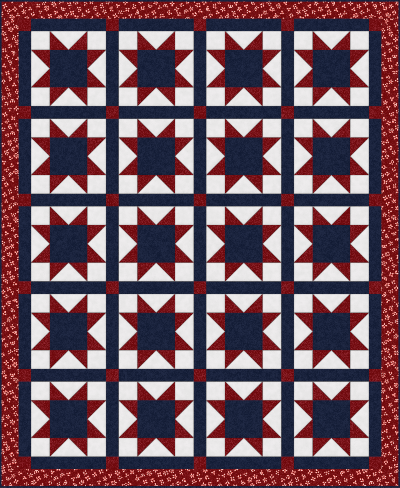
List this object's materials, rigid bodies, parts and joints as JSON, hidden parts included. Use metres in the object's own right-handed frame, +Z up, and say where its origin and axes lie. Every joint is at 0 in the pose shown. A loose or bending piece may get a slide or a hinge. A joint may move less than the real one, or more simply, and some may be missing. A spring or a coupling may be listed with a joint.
{
  "type": "star quilt blanket",
  "caption": "Patchwork blanket of sawtooth star blocks with plain sashing and cornerstones, a small-print border and a narrow folded binding, lying flat and face up.",
  "frame": {"origin": "middle of the underside, on the surface that the blanket lies on", "axes": "+X across the width, +Y along the length towards the top of the picture, +Z up out of the pieced face"},
  "size_m": [1.6256, 1.9812, 0.0065],
  "materials": {
    "navy_cotton": "matt quilting cotton, navy with faint tone-on-tone mottling",
    "red_cotton": "matt quilting cotton, deep red with tone-on-tone mottling",
    "white_cotton": "matt quilting cotton, white with a barely visible white-on-white figure",
    "border_print": "matt quilting cotton, deep red with a small scattered print of pale sprigs and blossoms",
    "binding_cotton": "matt quilting cotton, navy, folded double",
    "backing_cotton": "matt quilting cotton, plain navy",
    "quilting_thread": "fine cotton thread"
  },
  "bodies": {
    "root": {"quilt_centre": "navy_cotton", "border_left": "border_print", "border_right": "border_print", "border_bottom": "border_print", "border_top": "border_print", "binding_left": "binding_cotton", "binding_right": "binding_cotton", "binding_bottom": "binding_cotton", "binding_top": "binding_cotton"}
  },
  "joints": []
}
